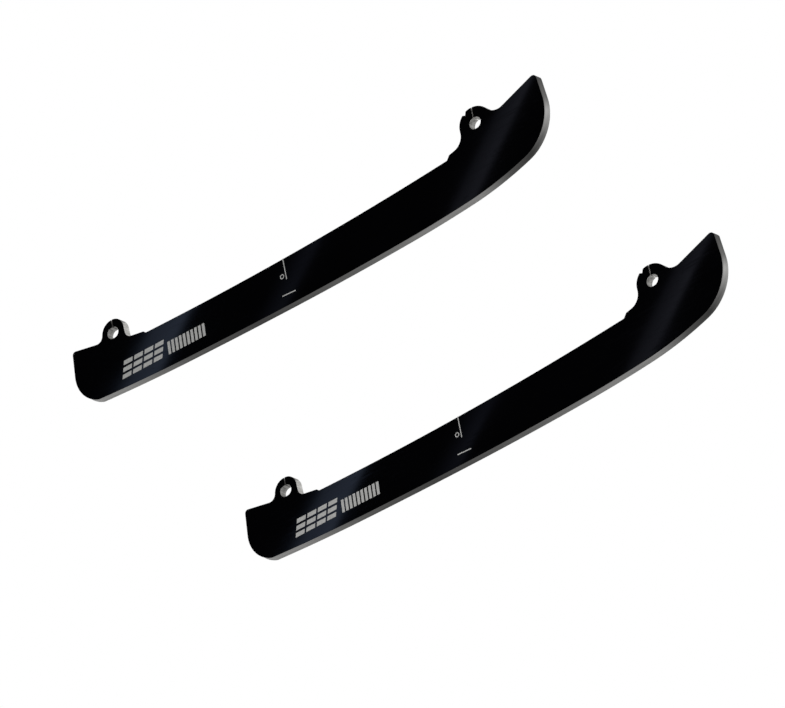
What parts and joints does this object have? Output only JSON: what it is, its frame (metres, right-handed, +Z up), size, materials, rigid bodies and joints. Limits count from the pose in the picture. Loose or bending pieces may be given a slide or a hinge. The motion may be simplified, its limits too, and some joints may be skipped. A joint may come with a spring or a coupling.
{
  "type": "ice hockey runner",
  "caption": "Pair of loose bolt-in ice hockey skate runners: coated steel blades with a rockered ice edge and two slit bolt ears each, lying flat side by side.",
  "frame": {"origin": "centre of the pair's footprint, on the surface that it lies on", "axes": "+X along both runners from heel to toe; +Y across them, towards the bolt ears; +Z up, out of the near faces"},
  "size_m": [0.344, 0.1588, 0.0039],
  "materials": {
    "black_coating": "glossy hard black coating on the two polished faces",
    "bare_steel": "ground ice edge and cut rim, left bare",
    "etched_steel": "matt laser etching through the coating"
  },
  "bodies": {
    "left": {"left_runner": "black_coating"},
    "right": {"right_runner": "black_coating"}
  },
  "joints": [
    {"name": "right_runner_lift", "type": "slide", "parent": "left", "child": "right", "axis": [0, 0, 1], "range_m": [0, 0.12]}
  ]
}
